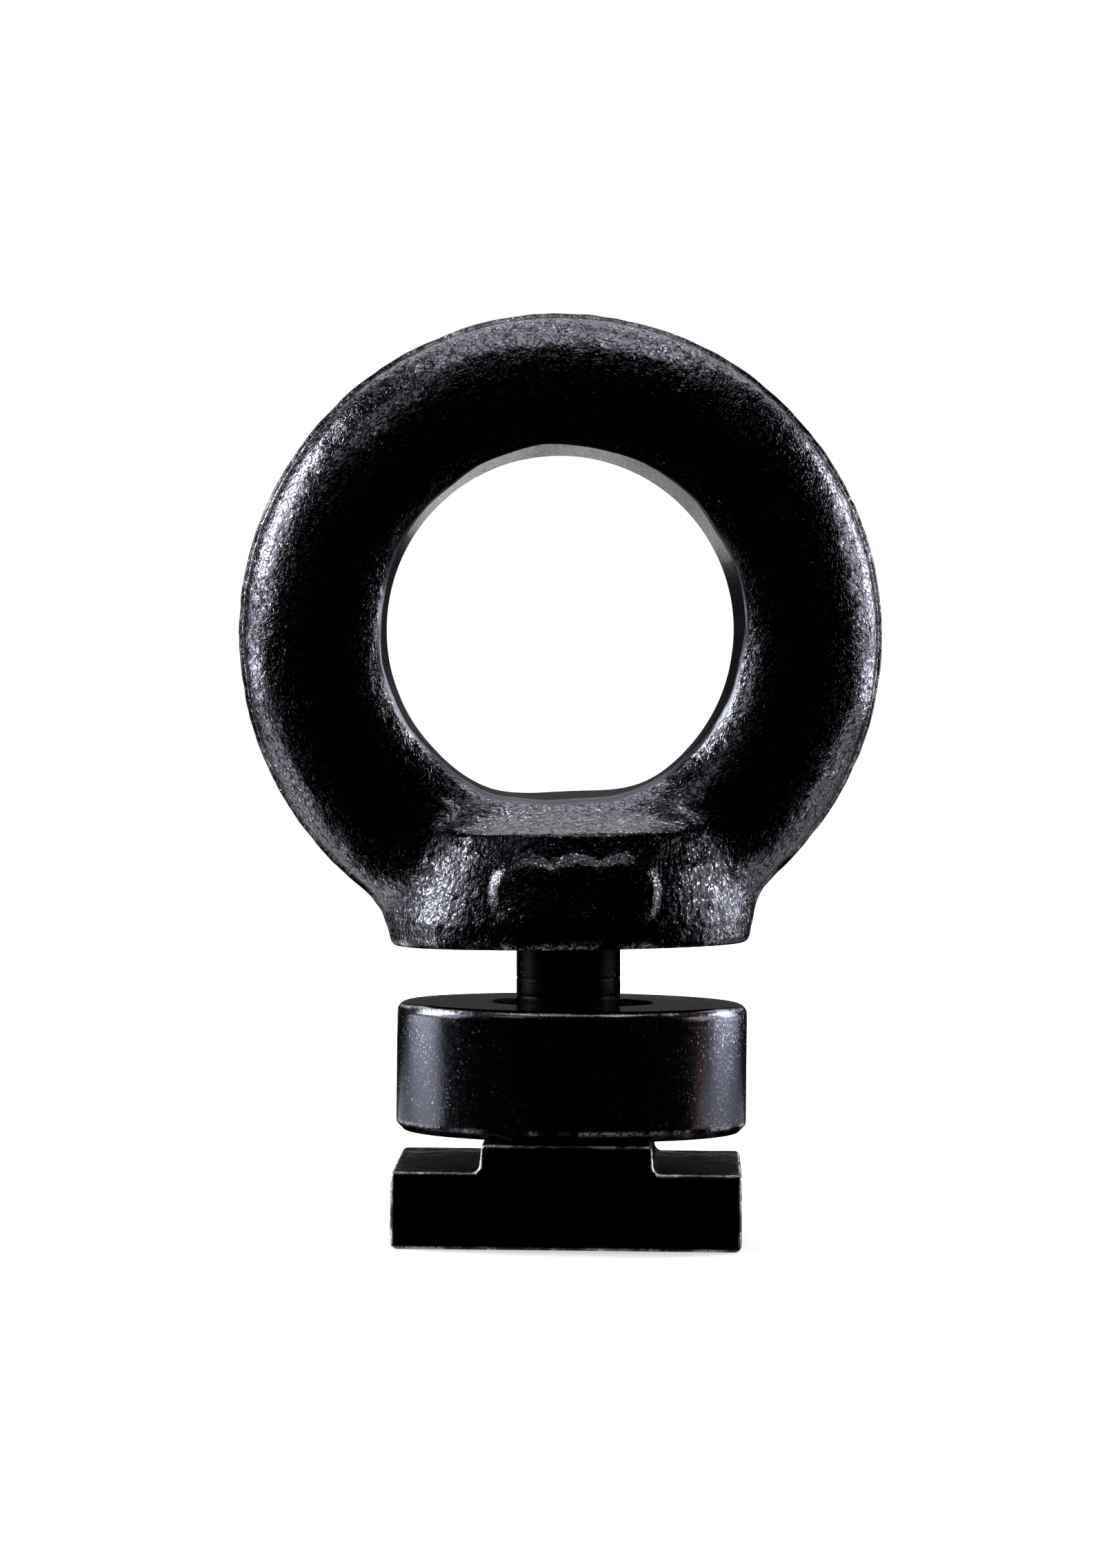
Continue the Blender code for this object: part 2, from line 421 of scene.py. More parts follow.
def ring_grid(stations, body_rows):
    """The ring with its trimmed hole; rows follow the flash and both edges of the land."""
    flash_angles = np.radians([0, 2.2, 3.6, 4.5, 5.3, 6.2, 8.0])
    around = np.arange(stations) * math.tau / stations
    below = -np.sin(around) + FLAT_TILT * np.cos(around)  # 1 straight down at the flat
    rows = []

    def trimmed(radius):
        """How far the punch reaches from the ring's centre at each station."""
        risen = PUNCH_RISE * np.sin(around)
        reach = risen + np.sqrt(np.maximum(radius**2 - PUNCH_RISE**2 + risen**2, 0))
        flat = np.where(below > 0.3, (HOLE_FLAT + radius - PUNCH_BACK) / np.maximum(below, 0.3), 99)
        return smooth_min(reach, flat, 0.6)

    def body_row(angle):
        half = np.where(np.cos(angle) > 0, OUTER_HALF, INNER_HALF)
        rows.append((RING_MEAN + half * np.cos(angle), RING_HALF_THICKNESS * np.sin(angle)))

    def edge_angle(side):
        y = side * LAND_HALF
        cosine = (trimmed(punch_radius(around, y)) - RING_MEAN) / INNER_HALF
        return side * np.arccos(np.clip(cosine, -0.985, -0.3))

    for side in (-1, 1):
        edge = edge_angle(side)
        start = np.full(stations, side * flash_angles[-1])
        share = np.linspace(0, 1, body_rows)
        share = share * (1.35 - 0.35 * share)
        body = [start + (edge - start) * t for t in share / share[-1]]
        flash = [np.full(stations, side * a) for a in flash_angles]
        if side < 0:
            for angle in reversed(body):
                body_row(angle)
            for angle in reversed(flash[:-1]):
                body_row(angle)
            front_edge = rows[0]
        else:
            for angle in flash[1:-1] + body:
                body_row(angle)
            back_edge = rows[-1]
    across_land = np.concatenate([[0.015, 0.04], np.linspace(0.09, 0.91, 17), [0.96, 0.985]])
    for t in across_land:
        y = back_edge[1] + (front_edge[1] - back_edge[1]) * t
        rows.append((trimmed(punch_radius(around, y)), y))
    placed = []
    for r, y in rows:
        x = RING_SHIFT + r * np.cos(around)
        z = RING_CENTRE + r * np.sin(around)
        placed.append(np.stack([x, np.broadcast_to(y, x.shape), z], 1))
    return np.concatenate(placed), grid_faces(len(rows), stations, close_rows=True)


def boss_grid(columns, spacing):
    """Flange and boss of revolution, with the blind hole that the stud screws into."""
    body = [
        (BORE, 0.6),
        (BORE + 0.6, 0.0),
        *arc((BOSS_SIDE[0][0] - BOSS_ROUND, BOSS_ROUND), BOSS_ROUND, -90, 0, 7),
        *BOSS_SIDE,
        *arc((BOSS_TOP[0] - BOSS_ROUND, BOSS_TOP[1] - BOSS_ROUND), BOSS_ROUND, 15, 75, 5),
        (0.02, 13.0),  # just under the roof's peak
        (0.02, BORE_DEPTH + 1.2),
        (BORE, BORE_DEPTH),
    ]
    return turned(resample(body, spacing), columns)


def relax(points, edges, chosen, rounds):
    """Evens out the chosen points, which then go back to the surface."""
    for _ in range(rounds):
        total = np.zeros_like(points)
        count = np.zeros(len(points))
        for a, b in ((edges[:, 0], edges[:, 1]), (edges[:, 1], edges[:, 0])):
            np.add.at(total, a, points[b])
            np.add.at(count, a, 1)
        mean = total / np.maximum(count, 1)[:, None]
        points[chosen] = 0.4 * points[chosen] + 0.6 * mean[chosen]
        points[chosen] = settle(eye_distance, points[chosen], 2)
    return points


def stud_placement():
    """Crooked in the T-slot nut's thread, by half the eye's lean to the side."""
    pivot = Matrix.Translation((0, 0, nut_high[2] / 2 * MM))
    return pivot @ Matrix.Rotation(LEAN_SIDE / 2, 4, "Y") @ pivot.inverted()


def eye_placement():
    """Turned and leaning, about the middle of the flange's underside."""
    lean = Matrix.Rotation(LEAN_SIDE, 4, "Y") @ Matrix.Rotation(LEAN_BACK, 4, "X")
    return Matrix.Translation((0, 0, FLANGE_BOTTOM * MM)) @ lean @ Matrix.Rotation(EYE_TURN, 4, "Z")


def eye_blank():
    """Ring and boss as one mesh, before its points go to the forging's surface."""
    stations, body_rows, columns, spacing = ((520, 44, 330, 0.33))
    eye = mesh_object("eye_forging", *ring_grid(stations, body_rows))
    boss = mesh_object("eye_boss", *boss_grid(columns, spacing))
    outward(eye)
    outward(boss)
    combine(eye, boss, "UNION")
    form = bmesh.new()
    form.from_mesh(eye.data)
    bmesh.ops.remove_doubles(form, verts=form.verts, dist=0.02 * MM)
    bmesh.ops.triangulate(form, faces=[f for f in form.faces if len(f.verts) > 4])
    form.to_mesh(eye.data)
    form.free()
    eye.data.shade_smooth()
    return eye


def eye_values(eye, points, normals):
    """Where the forging is worn, flashed, trimmed or part of the boss, for its material."""
    punch = np.abs(punch_distance(points))
    r, y, z = np.hypot(points[:, 0], points[:, 1]), np.abs(points[:, 1]), points[:, 2]
    foot = np.exp(-(((r - 14.75) / 0.45) ** 2 + ((z - 0.25) / 0.45) ** 2))
    patchy = step(-0.5, 0.6, noise(points, 1.6, 21) + 0.5 * noise(points, 0.5, 22))
    outside = step(6.25, 6.5, np.hypot(points[:, 0] - RING_SHIFT, z - RING_CENTRE) - RING_MEAN)
    set_value(eye, "flash", np.exp(-((y / 0.6) ** 6)) * outside)
    parting = np.exp(-(((y - FLASH_HALF) / 0.13) ** 2)) * outside
    set_value(eye, "wear", np.clip((0.9 * foot + 0.3 * parting) * patchy, 0, 1))
    boss_share = step(-1.0, 1.5, ring_distance(points) - boss_distance(points))
    roof = step(0.75, 0.92, normals[:, 2])
    set_value(eye, "boss", boss_share * (1 - 0.8 * roof))
    set_value(eye, "land", step(0.42, 0.20, punch) * (y < 6))


def eye_forging():
    """The forging, leaning as it stands; only the blind hole keeps its turned shape."""
    eye = eye_blank()
    points = points_of(eye)
    edges = np.empty(len(eye.data.edges) * 2, np.int32)
    eye.data.edges.foreach_get("vertices", edges)
    edges = edges.reshape(-1, 2)
    bore = (np.hypot(points[:, 0], points[:, 1]) < BORE + 0.75) & (points[:, 2] < BORE_DEPTH + 1.5)
    free = ~bore
    points[free] = settle(eye_distance, points[free])
    apart = np.abs(ring_distance(points) - boss_distance(points))
    blended = free & (apart < FILLET) & (np.abs(punch_distance(points)) > 0.5) & (points[:, 2] > 0.8)
    points = relax(points, edges, blended, 6)
    points[free] = settle(surface, points[free], 3)
    normals = gradient(surface, points)
    move_points(eye, points)
    eye_values(eye, points, normals)
    shading = np.where(bore[:, None], 0.0, normals)  # zero leaves the mesh's own normal
    eye.data.normals_split_custom_set_from_vertices(shading.tolist())
    eye.data.transform(eye_placement())
    return eye


# ---------------------------------------------------------------- turned and milled pieces


def thread_height(angle, z):
    """0 at the root and 1 at the crest of a right-hand 60 degree thread with flats."""
    place = (z / THREAD_PITCH - angle / math.tau) % 1
    return np.clip((0.5 - np.abs(place - 0.5)) * 2.6 - 0.3, 0, 1)


def stud_bolt():
    """Waisted stud: right-hand thread at both ends, tool rings on the waist."""
    length = stud_high[2] - stud_low[2]
    lower_end = 4.4
    upper_start = FLANGE_BOTTOM - stud_low[2]
    columns, spacing = ((128, 0.1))
    z, angle = round_grid(0, length, spacing, columns)
    threaded = STUD_ROOT + (STUD_CREST - STUD_ROOT) * thread_height(angle, z)
    from_end = np.minimum(z, length - z)
    threaded = np.minimum(threaded, STUD_CREST - 0.95 + from_end)
    above_lower = step(lower_end - 0.9, lower_end, z)
    on_waist = above_lower * (1 - step(upper_start + 0.6, upper_start + 1.6, z))
    axis = np.stack([z.ravel(), np.zeros(z.size), np.zeros(z.size)], 1)
    rings = (0.012 * noise(axis, 0.23, 31) + 0.008 * noise(axis, 0.6, 32)).reshape(z.shape)
    upper_groove = np.exp(-(((z - upper_start + 2.75) / 0.09) ** 2))
    lower_groove = np.exp(-(((z - upper_start + 4.2) / 0.11) ** 2))
    groove = 0.05 * (upper_groove + lower_groove)
    radius = threaded * (1 - on_waist) + (STUD_WAIST + rings - groove) * on_waist
    points = wrapped(radius, angle, z + stud_low[2])
    stud = mesh_object("stud_bolt", points, capped_faces(len(z), columns))
    stud.data.set_sharp_from_angle(angle=math.radians(40))
    crests = np.clip((thread_height(angle, z) - 0.8) * 4, 0, 1)
    set_value(stud, "wear", (crests * (1 - on_waist)).ravel())
    return stud


def disc_turned():
    """Thick turned disc with rounded top rim, small bottom chamfer and chamfered bore."""
    radius, height = (disc_high[0] - disc_low[0]) / 2, disc_high[2] - disc_low[2]
    outline = [
        (DISC_BORE, 0.6),
        (DISC_BORE + 0.6, 0.0),
        (radius - DISC_CHAMFER - 0.12, 0.0),
        (radius - DISC_CHAMFER, 0.04),
        (radius - 0.05, DISC_CHAMFER),
        (radius, DISC_CHAMFER + 0.15),
        *arc((radius - DISC_ROUND, height - DISC_ROUND), DISC_ROUND, 0, 90, 12),
        (DISC_BORE + 0.75, height),
        (DISC_BORE + 0.65, height - 0.05),
        (DISC_BORE, height - 0.75),
    ]
    columns, spacing = ((420, 0.25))
    points, faces = turned(resample(outline, spacing), columns)
    r, z = np.hypot(points[:, 0], points[:, 1]), points[:, 2]
    angle = np.arctan2(points[:, 1], points[:, 0])
    outer = r > radius - 1.2
    dents = 0.006 * noise(points, 3.1, 41) + 0.004 * noise(points, 1.1, 42)
    nicked = 0.06 * step(0.45, 0.9, noise(points, 0.9, 43))
    line = np.exp(-((np.abs(r - radius + 0.26) / 0.16) ** 2 + ((z - height + 0.3) / 0.16) ** 2))
    rim_top = np.exp(-(((r - radius + 0.2) / 0.4) ** 2 + ((z - height + 0.2) / 0.4) ** 2))
    rim_foot = np.exp(-(((r - radius) / 0.2) ** 2 + ((z - DISC_CHAMFER - 0.10) / 0.13) ** 2))
    inward = np.where(outer, dents - nicked * (rim_top + rim_foot), 0)
    points[:, 0] *= 1 + inward / r
    points[:, 1] *= 1 + inward / r
    mouth = np.exp(-(((r - DISC_BORE - 0.7) / 0.15) ** 2)) * (z > height - 0.4)
    patchy = step(-0.55, 0.4, noise(points, 1.5, 44) + 0.6 * noise(points, 0.4, 45))
    # A brown band painted down the disc's side where the right soft box's reflection begins: a painted
    # reflection edge, mottled a little
    painted_reflection_edge = np.exp(-(((angle + 0.76) / 0.05) ** 2)) * (0.7 + 0.3 * noise(points, 1.6, 46))
    points[:, 2] += disc_low[2]
    disc = mesh_object("disc_turned", points, faces)
    outward(disc)
    disc.data.set_sharp_from_angle(angle=math.radians(30))
    wear = line * (0.2 + 0.8 * patchy) + rim_foot * patchy + 0.5 * mouth * patchy
    set_value(disc, "wear", np.clip(wear, 0, 1))
    set_value(disc, "painted_reflection_edge", np.clip(painted_reflection_edge, 0, 1))
    return disc


def rounded_outline(corners, rounds, steps, spacing):
    """Evenly spaced (point, outward normal) pairs round a closed outline with rounded square corners."""
    placed = []
    count = len(corners)
    for i, (corner, radius) in enumerate(zip(corners, rounds)):
        before = np.array(corners[i - 1]) - corner
        after = np.array(corners[(i + 1) % count]) - corner
        before, after = before / np.linalg.norm(before), after / np.linalg.norm(after)
        turn = after[0] * before[1] - after[1] * before[0]
        centre = np.array(corner) + (before + after) * radius
        for t in range(steps + 1):
            share = math.radians(90 * t / steps)
            normal = -(before * math.sin(share) + after * math.cos(share))
            placed.append((centre + normal * radius, normal * (1 if turn > 0 else -1)))
    points, normals = [], []
    for (point, normal), (following, next_normal) in zip(placed, placed[1:] + placed[:1]):
        pieces = max(1, round(float(np.linalg.norm(following - point)) / spacing))
        for k in range(pieces):
            points.append(point + (following - point) * k / pieces)
            mixed = normal + (next_normal - normal) * k / pieces
            normals.append(mixed / np.linalg.norm(mixed))
    return np.array(points), np.array(normals)


def t_nut_milled():
    """T-slot nut: wide base, slightly drawn-in neck, worn edges and a tapped hole right through."""
    width, length, height = nut_high[0] - nut_low[0], nut_high[1] - nut_low[1], nut_high[2]
    corners = [
        (-width / 2, 0.0), (width / 2, 0.0), (width / 2, SHOULDER), (NECK / 2, SHOULDER),
        (NECK / 2, height), (-NECK / 2, height), (-NECK / 2, SHOULDER), (-width / 2, SHOULDER),
    ]
    rounds = [0.6, 0.6, 0.5, 0.6, 0.4, 0.4, 0.6, 0.5]
    soft, rim = 0.32, 0.08
    outline, normals = rounded_outline(corners, rounds, 6, 0.4)
    turns = np.radians(np.linspace(0, 90, 6))
    ends = [(soft * (1 - math.sin(a)), soft * (1 - math.cos(a))) for a in turns]
    ends.insert(0, (soft + rim, 0.0))
    stations = [(-length / 2 + depth, inset) for inset, depth in ends]
    inner = np.linspace(-length / 2 + 0.35, length / 2 - 0.35, 64)
    stations += [(y, 0.0) for y in inner]
    stations += [(length / 2 - depth, inset) for inset, depth in reversed(ends)]
    rows = []
    for y, inset in stations:
        placed = outline - normals * inset
        rows.append(np.stack([placed[:, 0], np.full(len(placed), y), placed[:, 1]], 1))
    points = np.concatenate(rows)
    wavy = 0.012 * noise(points, 2.2, 51) + 0.010 * noise(points, 0.7, 52)
    spread_normals = np.tile(normals, (len(stations), 1))
    points[:, 0] += spread_normals[:, 0] * wavy
    points[:, 2] += spread_normals[:, 1] * np.where(points[:, 2] < 0.7, 0, wavy)
    points[:, 0] *= 1 - 0.022 * step(SHOULDER, height, points[:, 2])
    nut = mesh_object("t_nut_milled", points, capped_faces(len(stations), len(outline)))
    outward(nut)
    hole = mesh_object("nut_hole", *threaded_hole(height))
    outward(hole)
    combine(nut, hole, "DIFFERENCE")
    nut.data.shade_smooth()
    nut.data.set_sharp_from_angle(angle=math.radians(28))
    even = nut.modifiers.new("even", "WEIGHTED_NORMAL")
    even.mode = "FACE_AREA"
    even.weight = 100
    even.keep_sharp = True
    apply_modifiers(nut)
    return nut


def threaded_hole(height):
    """Cutter for the nut's tapped hole: a helical groove with chamfered mouths."""
    minor, major, mouth, over = 6.0, 6.4, 6.75, 0.6
    columns, spacing = ((96, 0.12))
    z, angle = round_grid(-over, height + over, spacing, columns)
    depth = np.minimum(z, height - z)
    radius = minor + (major - minor) * thread_height(angle, z)
    radius = np.maximum(radius, mouth - depth)
    return wrapped(radius, angle, z), capped_faces(len(z), columns)


# ---------------------------------------------------------------- materials


class Nodes:
    """A small helper that adds and links shader nodes."""

    def __init__(self, name):
        self.material = bpy.data.materials.new(name)
        self.material.use_nodes = True
        self.tree = self.material.node_tree
        self.shader = self.tree.nodes["Principled BSDF"]
        self.place = self.add("ShaderNodeTexCoord").outputs["Object"]

    def add(self, kind, **settings):
        node = self.tree.nodes.new(kind)
        for key, value in settings.items():
            setattr(node, key, value)
        return node

    def dim_edges(self, grey):
        """Holds back the glare where the surface is seen at a slant."""
        self.shader.inputs["Specular Tint"].default_value = (grey, grey, grey, 1.0)

    def link(self, source, target):
        self.tree.links.new(source, target)

    def attribute(self, name):
        return self.add("ShaderNodeAttribute", attribute_name=name).outputs["Fac"]

    def math(self, operation, a, b=0.0, c=0.0):
        node = self.add("ShaderNodeMath", operation=operation)
        for socket, value in zip(node.inputs, (a, b, c)):
            if isinstance(value, (int, float)):
                socket.default_value = value
            else:
                self.link(value, socket)
        return node.outputs[0]

    def stretched(self, scale):
        """Coordinates that squeeze a pattern by scale along each axis."""
        node = self.add("ShaderNodeMapping")
        self.link(self.place, node.inputs["Vector"])
        node.inputs["Scale"].default_value = scale
        return node.outputs["Vector"]

    def noise(self, size, detail=2.0, roughness=0.5, vector=None):
        """Noise with features about `size` millimetres across."""
        node = self.add("ShaderNodeTexNoise")
        node.inputs["Scale"].default_value = 1 / (size * MM)
        node.inputs["Detail"].default_value = detail
        node.inputs["Roughness"].default_value = roughness
        self.link(vector or self.place, node.inputs["Vector"])
        return node.outputs["Fac"]

    def cracks(self, size, width):
        """0 along thin meandering lines about `size` millimetres apart, 1 between them."""
        off_line = self.math("ABSOLUTE", self.math("SUBTRACT", self.noise(size, 1.0, 0.5), 0.5))
        return self.ramp(off_line, 0.0, width)

    def ramp(self, value, low, high, to_low=0.0, to_high=1.0):
        node = self.add("ShaderNodeMapRange")
        node.interpolation_type = "SMOOTHSTEP"
        self.link(value, node.inputs["Value"])
        node.inputs["From Min"].default_value = low
        node.inputs["From Max"].default_value = high
        node.inputs["To Min"].default_value = to_low
        node.inputs["To Max"].default_value = to_high
        return node.outputs["Result"]

    def blend(self, share, first, second):
        """Colours mixed by share; each is a colour or a socket."""
        node = self.add("ShaderNodeMix", data_type="RGBA")
        self.link(share, node.inputs["Factor"])
        for socket, value in ((node.inputs[6], first), (node.inputs[7], second)):
            if isinstance(value, tuple):
                socket.default_value = (*value, 1.0)
            else:
                self.link(value, socket)
        return node.outputs[2]

    def bump(self, height, distance, strength=1.0, normal=None):
        """A bumped normal; distance is the full height in millimetres."""
        node = self.add("ShaderNodeBump")
        node.inputs["Distance"].default_value = distance * MM
        if isinstance(strength, float):
            node.inputs["Strength"].default_value = strength
        else:
            self.link(strength, node.inputs["Strength"])
        self.link(height, node.inputs["Height"])
        if normal:
            self.link(normal, node.inputs["Normal"])
        return node.outputs["Normal"]

    def finish(self, colour, roughness, normal, scuffed):
        """scuffed is the share of the surface that is rubbed too rough to shine."""
        self.link(colour, self.shader.inputs["Base Color"])
        self.link(roughness, self.shader.inputs["Roughness"])
        self.link(normal, self.shader.inputs["Normal"])
        metallic = self.math("SUBTRACT", 1.0, self.math("MULTIPLY", scuffed, 0.6))
        self.link(metallic, self.shader.inputs["Metallic"])
        return self.material


def forged_black():
    """Blackened forging scale: crackled, pitted and glossy, and rubbed bare on its edges."""
    n = Nodes("forged_black")
    land, on_boss = n.attribute("land"), n.attribute("boss")
    left_bare = n.ramp(n.noise(0.26, 2.0, 0.6), 0.44, 0.58, 0.1, 1.0)
    wear = n.math("MULTIPLY", n.attribute("wear"), left_bare)
    off_land = n.math("SUBTRACT", 1.0, land)
    coarse = n.noise(0.55, 1.0, 0.4)
    fine = n.noise(0.26, 1.0, 0.5)
    open_metal = n.math("MULTIPLY", n.cracks(0.85, 0.055), n.cracks(0.50, 0.045))
    blisters = n.ramp(n.noise(0.38, 1.0, 0.5), 0.58, 0.70)
    speck = n.ramp(n.noise(0.30, 2.0, 0.6), 0.60, 0.68)
    patches = n.ramp(n.noise(4.0, 3.0, 0.6), 0.40, 0.62)
    rubbed = n.math("MULTIPLY", n.math("MULTIPLY", speck, patches), 0.7)
    bright = n.math("MAXIMUM", wear, n.math("MULTIPLY", rubbed, off_land))
    shabby = n.math("MULTIPLY", on_boss, n.ramp(n.noise(1.6, 2.0, 0.6), 0.40, 0.58, 0.6, 1.15))
    polish = n.blend(shabby, BLACK_SCALE, BOSS_SCALE)
    scale = n.blend(n.math("MAXIMUM", open_metal, land), PIT_BLACK, polish)
    flash = n.attribute("flash")
    trimmed = n.blend(flash, n.blend(land, scale, LAND_BLACK), PIT_BLACK)
    colour = n.blend(bright, trimmed, BARE_STEEL)
    n.dim_edges(0.5)
    patchy = n.math("ADD", n.ramp(fine, 0.3, 0.7, 0.13, 0.22), n.math("MULTIPLY", land, 0.08))
    rough = n.math("ADD", patchy, n.math("MULTIPLY", wear, 0.3))
    height = n.math("ADD", n.math("MULTIPLY", coarse, 0.85), n.math("MULTIPLY", fine, 0.15))
    relief = n.math("MULTIPLY", height, n.ramp(on_boss, 0.0, 1.0, 1.0, 2.4))
    first = n.bump(relief, 0.045, off_land)
    second = n.bump(blisters, 0.008, off_land, first)
    third = n.bump(open_metal, 0.010, off_land, second)
    last = n.bump(n.noise(0.45, 2.0, 0.5), 0.008, 0.5, third)
    return n.finish(colour, rough, last, n.math("MULTIPLY", wear, 0.5))


def turned_black():
    """Smooth turned and blackened steel with faint tool lines, nicks, hair scratches and rubbed rims."""
    n = Nodes("turned_black")
    lines = n.noise(1.0, 3.0, 0.6, n.stretched((1.0, 1.0, 14.0)))
    specks = n.ramp(n.noise(0.24, 1.0, 0.5), 0.66, 0.70)
    busy = n.ramp(n.noise(3.2, 3.0, 0.6), 0.35, 0.62)
    hairs = n.math("SUBTRACT", 1.0, n.cracks(2.4, 0.0035))
    few = n.ramp(n.noise(1.6, 2.0, 0.5), 0.56, 0.60)
    nicks = n.math("MULTIPLY", n.math("MAXIMUM", specks, n.math("MULTIPLY", hairs, few)), busy)
    left_bare = n.ramp(n.noise(0.22, 2.0, 0.6), 0.38, 0.56, 0.25, 1.0)
    worn = n.math("MULTIPLY", n.attribute("wear"), left_bare)
    bright = n.math("MAXIMUM", worn, n.math("MULTIPLY", nicks, 0.55))
    # The black oxide, with the brown band painted at the edge of the right soft box's reflection
    oxide_and_painted_reflection = n.blend(n.attribute("painted_reflection_edge"), BLACK_OXIDE, BROWN_PAINTED_REFLECTION)
    n.dim_edges(0.42)
    colour = n.blend(bright, oxide_and_painted_reflection, BARE_STEEL)
    smooth = n.ramp(n.noise(0.5, 4.0, 0.7), 0.3, 0.7, 0.12, 0.21)
    rough = n.math("ADD", smooth, n.math("MULTIPLY", bright, 0.3))
    scuffed = n.math("MULTIPLY", worn, 0.4)
    first = n.bump(lines, 0.004)
    second = n.bump(n.noise(0.30, 2.0, 0.5), 0.012, 1.0, first)
    return n.finish(colour, rough, second, scuffed)


def milled_black():
    """Milled and blackened steel: cutter lines across the shoulders, bare metal along the edges."""
    n = Nodes("milled_black")
    lines = n.noise(1.0, 2.0, 0.5, n.stretched((0.2, 7.0, 1.0)))
    specks = n.ramp(n.noise(0.15, 1.0, 0.5), 0.68, 0.74)
    streaks = n.ramp(n.noise(1.0, 3.0, 0.6, n.stretched((0.30, 2.2, 2.0))), 0.50, 0.66)
    cutter = n.math("MULTIPLY", streaks, n.ramp(n.attribute("milled"), 0.0, 1.0, 0.04, 0.28))
    rubbed = n.math("MAXIMUM", n.math("MULTIPLY", specks, 0.15), cutter)
    left_bare = n.ramp(n.noise(0.22, 2.0, 0.6), 0.36, 0.52, 0.3, 1.0)
    worn = n.math("MULTIPLY", n.attribute("wear"), left_bare)
    bright = n.math("MAXIMUM", worn, rubbed)
    colour = n.blend(bright, PIT_BLACK, RUBBED_STEEL)
    n.dim_edges(0.3)
    dull = n.ramp(n.noise(0.4, 4.0, 0.7), 0.3, 0.7, 0.22, 0.34)
    rough = n.math("ADD", dull, n.math("MULTIPLY", n.attribute("wear"), 0.16))
    first = n.bump(lines, 0.06)
    second = n.bump(n.noise(0.2, 3.0, 0.6), 0.03, 1.0, first)
    return n.finish(colour, rough, second, worn)


def stud_black():
    """Blackened turned stud."""
    n = Nodes("stud_black")
    lines = n.noise(0.5, 2.0, 0.5, n.stretched((0.3, 0.3, 6.0)))
    specks = n.ramp(n.noise(0.15, 1.0, 0.5), 0.68, 0.76)
    wear = n.attribute("wear")
    share = n.math("MULTIPLY", n.math("MAXIMUM", wear, specks), 0.12)
    colour = n.blend(share, PIT_BLACK, BARE_STEEL)
    n.dim_edges(0.25)
    rough = n.ramp(n.noise(0.4, 3.0, 0.6), 0.3, 0.7, 0.24, 0.42)
    return n.finish(colour, rough, n.bump(lines, 0.01), share)


def nut_wear(nut):
    """Wear along the nut's outer edges, from how far each point is from two faces at once."""
    points = points_of(nut)
    half_width, half_length = (nut_high[0] - nut_low[0]) / 2, (nut_high[1] - nut_low[1]) / 2
    x, y, z = np.abs(points[:, 0]), np.abs(points[:, 1]), points[:, 2]
    side = np.where(z > SHOULDER + 0.2, NECK / 2 - x, half_width - x)
    top = np.where(x < NECK / 2 + 0.1, nut_high[2] - z, SHOULDER - z)
    faces = np.sort(np.abs(np.stack([side, half_length - y, np.minimum(np.abs(top), z)], 1)), axis=1)
    near = np.exp(-((faces[:, 1] / 0.23) ** 4)) * (half_length - y > 0.001)
    milled = step(0.3, 0.15, np.abs(z - SHOULDER)) * step(NECK / 2 + 0.1, NECK / 2 + 0.4, x)
    set_value(nut, "milled", milled)
    patchy = step(-0.5, 0.5, noise(points, 1.9, 61) + 0.8 * noise(points, 0.45, 62))
    set_value(nut, "wear", np.clip(near * (0.3 + 0.9 * patchy), 0, 1))


# ---------------------------------------------------------------- stage, lights, camera


def floor_material():
    """Pale paper, lit from within where the soft boxes no longer reach it."""
    n = Nodes("pale_floor")
    length = n.add("ShaderNodeVectorMath", operation="LENGTH")
    n.link(n.place, length.inputs[0])
    glow = n.ramp(length.outputs["Value"], 0.06, 0.9, 0.50, 1.02)
    n.link(glow, n.shader.inputs["Emission Strength"])
    n.shader.inputs["Emission Color"].default_value = (1, 1, 1, 1)
    n.shader.inputs["Base Color"].default_value = (0.62, 0.62, 0.63, 1)
    n.shader.inputs["Roughness"].default_value = 0.9
    n.shader.inputs["Specular IOR Level"].default_value = 0.1
    return n.material


def floor():
    """A wide floor that no piece mirrors."""
    half = 6.0
    mesh = bpy.data.meshes.new("floor")
    corners = [(-half, -half, 0), (half, -half, 0), (half, half, 0), (-half, half, 0)]
    mesh.from_pydata(corners, [], [(0, 1, 2, 3)])
    thing = bpy.data.objects.new("floor", mesh)
    bpy.context.scene.collection.objects.link(thing)
    thing.data.materials.append(floor_material())
    thing.visible_glossy = False


def area_light(name, place, target, width, height, strength, shape="RECTANGLE"):
    """A soft box at place, in metres, facing target; strength is its brightness."""
    data = bpy.data.lights.new(name, "AREA")
    data.shape = shape
    data.size, data.size_y = width, height
    area = width * height * (math.pi / 4 if shape == "ELLIPSE" else 1)
    data.energy = strength * area * math.pi
    thing = bpy.data.objects.new(name, data)
    bpy.context.scene.collection.objects.link(thing)
    thing.location = place
    thing.rotation_euler = (Vector(target) - Vector(place)).to_track_quat("-Z", "Y").to_euler()
    thing.visible_camera = False
    return thing


def around(azimuth, elevation, distance):
    """A point seen from 50 mm above the floor; azimuth 0 is towards the camera, 90 to its right."""
    a, e = math.radians(azimuth), math.radians(elevation)
    along = distance * math.cos(e)
    return (along * math.sin(a), -along * math.cos(a), 0.05 + distance * math.sin(e))


def floor_card(name, azimuth, distance, width, length, strength):
    """A bright oval card lying on the floor, its length pointing at the object."""
    card = area_light(name, around(azimuth, 0, distance), (0, 0, 1), width, length, strength, "ELLIPSE")
    card.location.z = 0.004
    card.rotation_euler = (math.pi, 0, math.radians(azimuth))


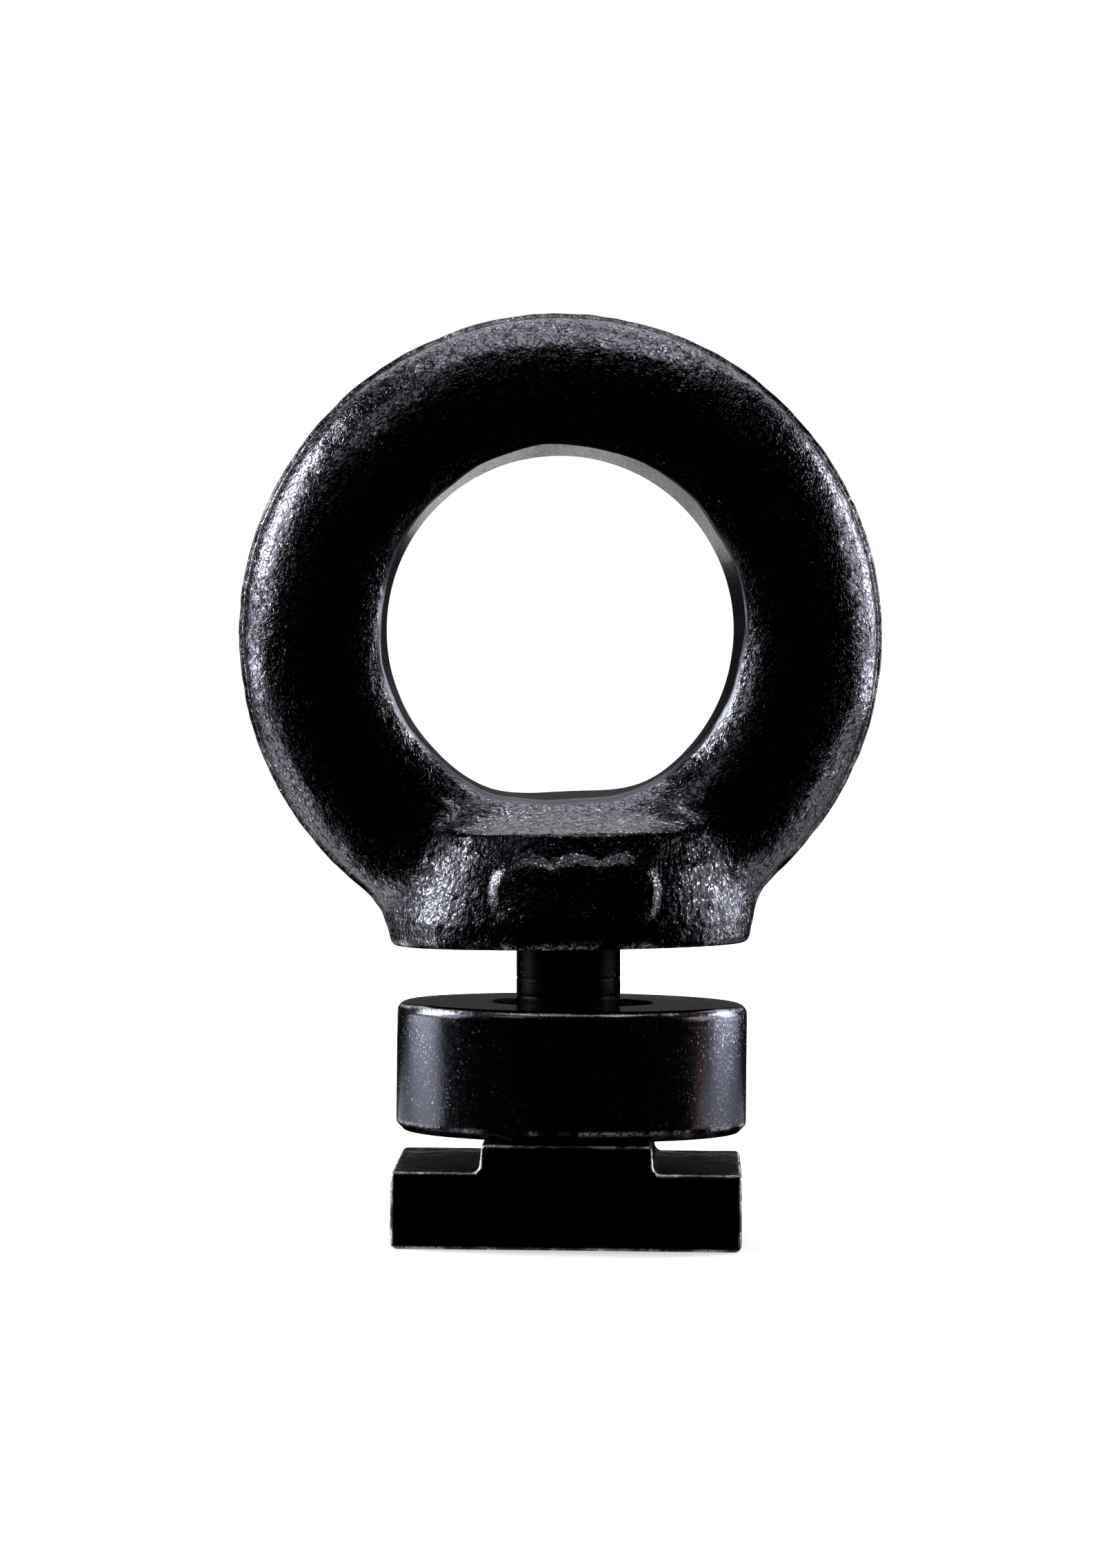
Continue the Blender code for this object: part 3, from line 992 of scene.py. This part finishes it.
def lights():
    """Soft boxes and floor cards beside and behind the object, with weak light from above."""
    middle = (0, 0, 0.045)
    area_light("left_box", around(-110, 23, 1.0), middle, 0.40, 0.50, 19.0)
    area_light("left_wash", around(-102, 18, 1.1), middle, 0.90, 0.64, 2.8)
    area_light("right_box", around(130, 15, 1.0), middle, 0.38, 0.52, 13.0)
    area_light("right_wash", around(110, 13, 1.1), middle, 0.86, 0.50, 2.8)
    area_light("high_left_box", around(-50, 44, 1.2), middle, 0.42, 0.36, 0.8)
    area_light("top_box", around(180, 84, 1.2), middle, 1.2, 0.8, 2.5)
    area_light("back_box", around(180, 42, 1.3), middle, 1.4, 0.85, 3.4)
    area_light("back_low_box", around(180, 7, 1.3), middle, 0.50, 0.20, 0.16)
    floor_card("left_card", -114, 0.62, 0.36, 0.74, 9.5)
    floor_card("right_card", 125, 0.66, 0.40, 0.74, 14.0)
    floor_card("left_near_card", -118, 0.12, 0.12, 0.16, 2.0)
    floor_card("right_near_card", 118, 0.12, 0.12, 0.16, 1.2)
    floor_card("back_card", -177, 0.50, 0.18, 0.60, 1.9)


def world():
    """White where the camera looks past the floor, and next to nothing as a light."""
    made = bpy.data.worlds.new("studio")
    bpy.context.scene.world = made
    made.use_nodes = True
    tree = made.node_tree
    background = tree.nodes["Background"]
    background.inputs["Color"].default_value = (1, 1, 1, 1)
    path = tree.nodes.new("ShaderNodeLightPath")
    strength = tree.nodes.new("ShaderNodeMapRange")
    strength.inputs["To Min"].default_value = 0.005
    strength.inputs["To Max"].default_value = 1.1
    tree.links.new(path.outputs["Is Camera Ray"], strength.inputs["Value"])
    tree.links.new(strength.outputs["Result"], background.inputs["Strength"])


def camera():
    """Long lens a little above the ring's centre, looking slightly down at the object's middle."""
    place = Vector((9.1, -632.3, 56.1)) * MM
    yaw, pitch, roll = (math.radians(x) for x in (0.92, 1.63, 0.574))
    ahead = Vector((-math.sin(yaw) * math.cos(pitch), math.cos(yaw) * math.cos(pitch), -math.sin(pitch)))
    level = Vector((math.cos(yaw), math.sin(yaw), 0))
    upright = level.cross(ahead)
    right = level * math.cos(roll) + upright * math.sin(roll)
    up = upright * math.cos(roll) - level * math.sin(roll)
    data = bpy.data.cameras.new("camera")
    data.sensor_width = 36
    data.lens = 172.9
    data.clip_start = 0.05
    data.clip_end = 20
    thing = bpy.data.objects.new("camera", data)
    bpy.context.scene.collection.objects.link(thing)
    axes = Matrix((right, up, -ahead)).transposed().to_4x4()
    thing.matrix_world = Matrix.Translation(place) @ axes
    bpy.context.scene.camera = thing


# ---------------------------------------------------------------- assembly


def dress(piece, body, node, material):
    """Gives a piece its material and its body, and hides the solid it stands in for."""
    piece.data.materials.clear()
    piece.data.materials.append(material)
    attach(piece, body)
    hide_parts(node)


def main():
    camera()
    world()
    lights()
    floor()
    nut = t_nut_milled()
    nut_wear(nut)
    dress(nut, "nut", "t_slot_nut", milled_black())
    stud = stud_bolt()
    stud.data.transform(stud_placement())
    dress(stud, "stud", "stud", stud_black())
    disc = disc_turned()
    disc.data.transform(Matrix.Translation((DISC_SHIFT * MM, 0, 0)))
    dress(disc, "disc", "clamp_disc", turned_black())
    dress(eye_forging(), "eye", "eye_nut", forged_black())
    bpy.context.scene.view_settings.view_transform = "Standard"


main()
